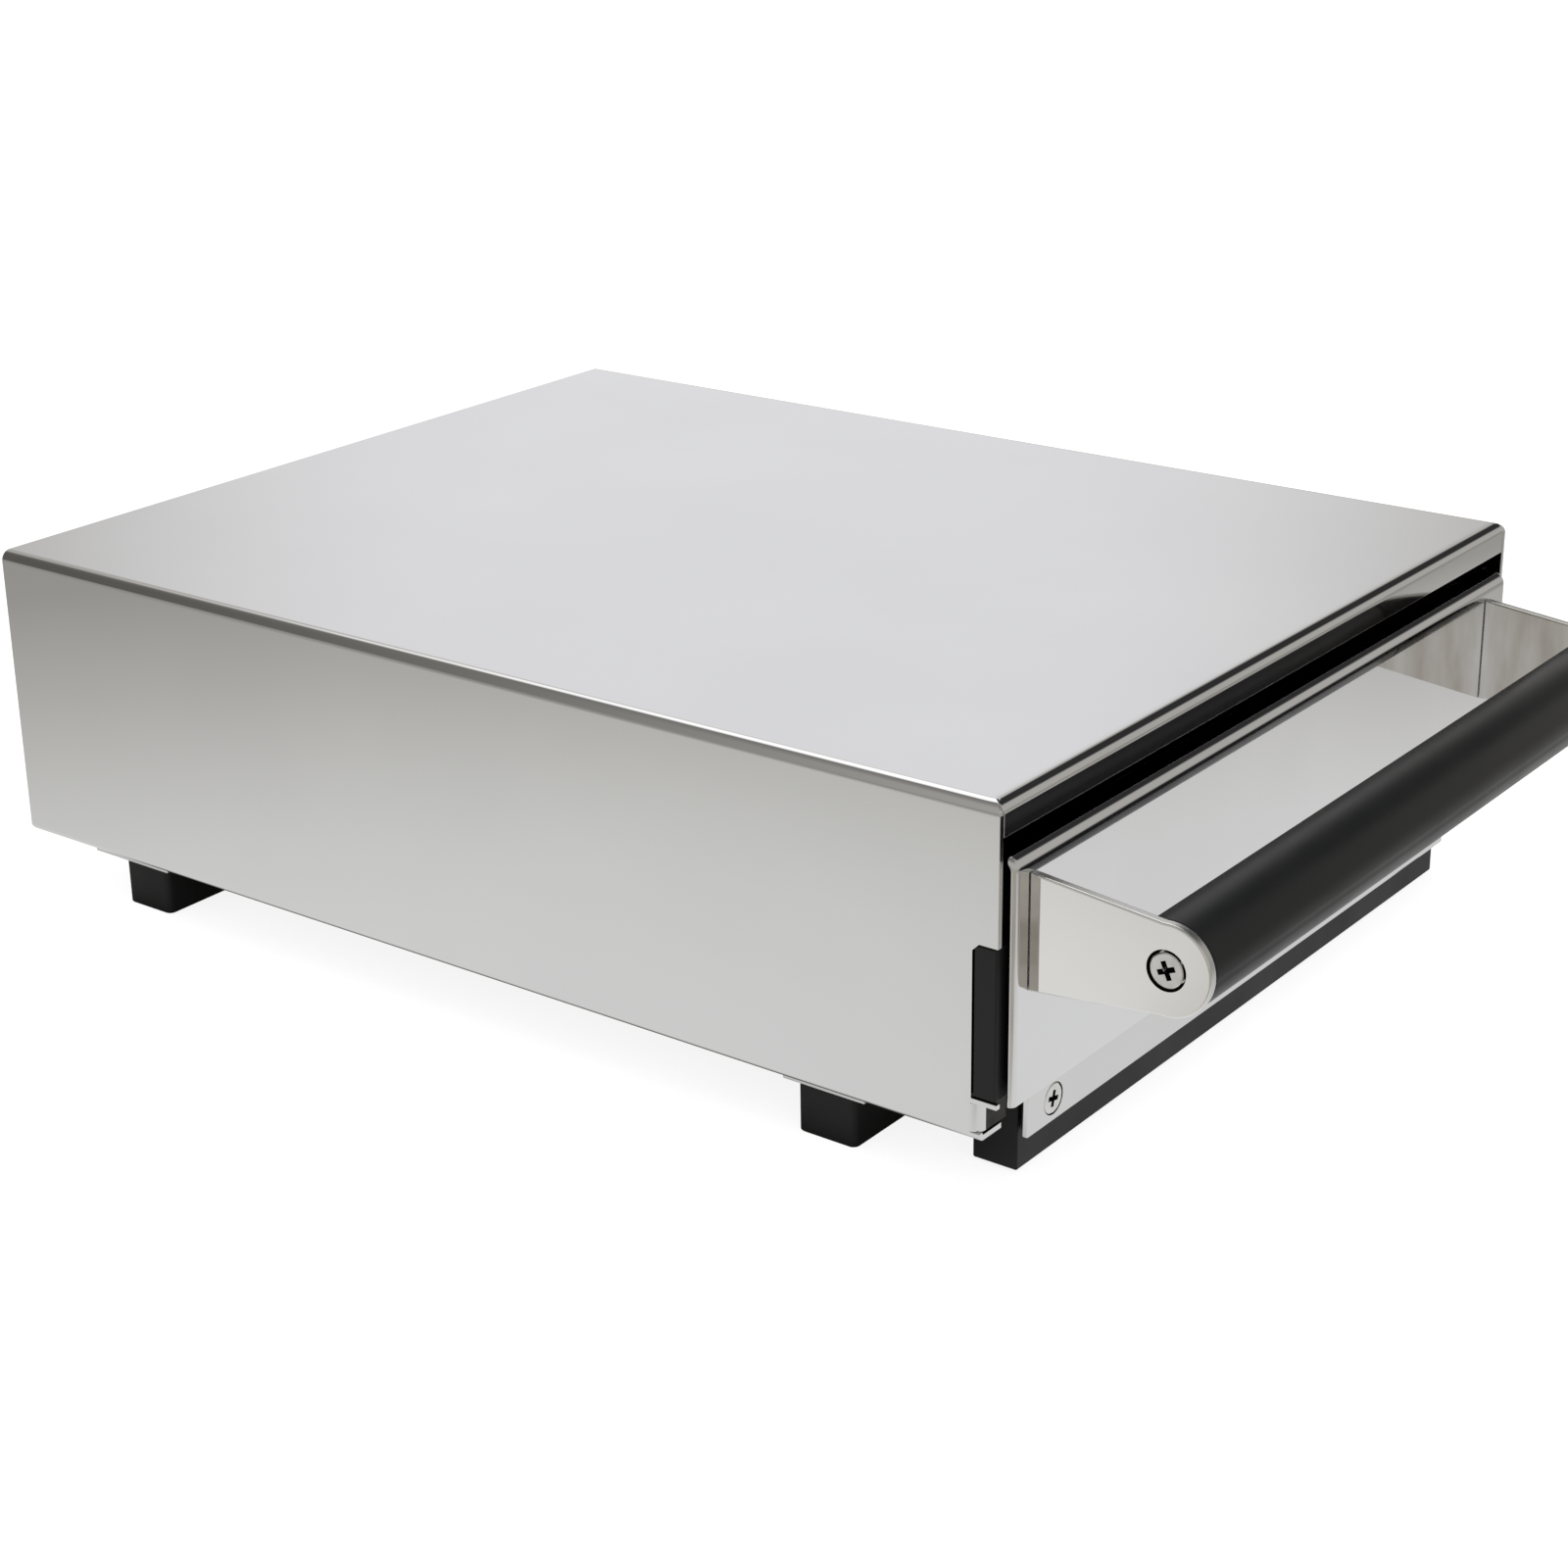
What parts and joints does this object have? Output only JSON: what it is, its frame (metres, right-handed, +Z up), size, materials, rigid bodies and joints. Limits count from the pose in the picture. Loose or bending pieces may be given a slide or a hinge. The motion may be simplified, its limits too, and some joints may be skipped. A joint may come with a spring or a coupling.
{
  "type": "coffee knock drawer",
  "caption": "Low folded-steel coffee knock drawer on rubber feet, with a sliding pan, a padded knock bar, a polished front panel and a round black bar handle.",
  "frame": {"origin": "on the counter, under the middle of the closed object's outline", "axes": "+Z is up, the drawer opens towards -Y and +X is to the right of someone who faces its handle"},
  "size_m": [0.262, 0.385, 0.103],
  "materials": {
    "stainless_steel": "fine satin",
    "polished_steel": "polished, almost a mirror",
    "screw_steel": "plain machined",
    "black_plastic": "matt black",
    "handle_grip": "matt black with a soft sheen",
    "black_rubber": "matt black"
  },
  "bodies": {
    "housing": {"bumper_left": "black_rubber", "bumper_right": "black_rubber", "foot_front_left": "black_rubber", "foot_front_right": "black_rubber", "foot_nut_front_left": "screw_steel", "foot_nut_front_right": "screw_steel", "foot_nut_rear_left": "screw_steel", "foot_nut_rear_right": "screw_steel", "foot_rear_left": "black_rubber", "foot_rear_right": "black_rubber", "foot_screw_front_left": "screw_steel", "foot_screw_front_right": "screw_steel", "foot_screw_rear_left": "screw_steel", "foot_screw_rear_right": "screw_steel", "front_strap": "stainless_steel", "housing_shell": "stainless_steel", "rear_panel": "stainless_steel", "rear_strap": "stainless_steel", "runner_left": "black_plastic", "runner_right": "black_plastic", "runner_screw_left_1": "screw_steel", "runner_screw_left_2": "screw_steel", "runner_screw_right_1": "screw_steel", "runner_screw_right_2": "screw_steel", "stop_angle": "stainless_steel"},
    "drawer": {"front_board": "black_plastic", "front_panel": "polished_steel", "handle_arm_left": "stainless_steel", "handle_arm_right": "stainless_steel", "handle_core": "stainless_steel", "handle_screw_left": "screw_steel", "handle_screw_right": "screw_steel", "handle_sleeve": "handle_grip", "knock_rod": "stainless_steel", "knock_screw_left": "screw_steel", "knock_screw_right": "screw_steel", "knock_sleeve": "black_rubber", "pan": "stainless_steel", "panel_screw_high_left": "screw_steel", "panel_screw_high_right": "screw_steel", "panel_screw_low_left": "screw_steel", "panel_screw_low_right": "screw_steel", "plank": "black_plastic", "plank_screw_left": "screw_steel", "plank_screw_right": "screw_steel", "skirt_gasket": "black_rubber", "skirt_strip": "stainless_steel", "stop_catch": "stainless_steel", "strip_screw_left": "screw_steel", "strip_screw_right": "screw_steel"}
  },
  "joints": [
    {"name": "drawer_slide", "type": "slide", "parent": "housing", "child": "drawer", "axis": [0, -1, 0], "range_m": [0, 0.28]}
  ]
}
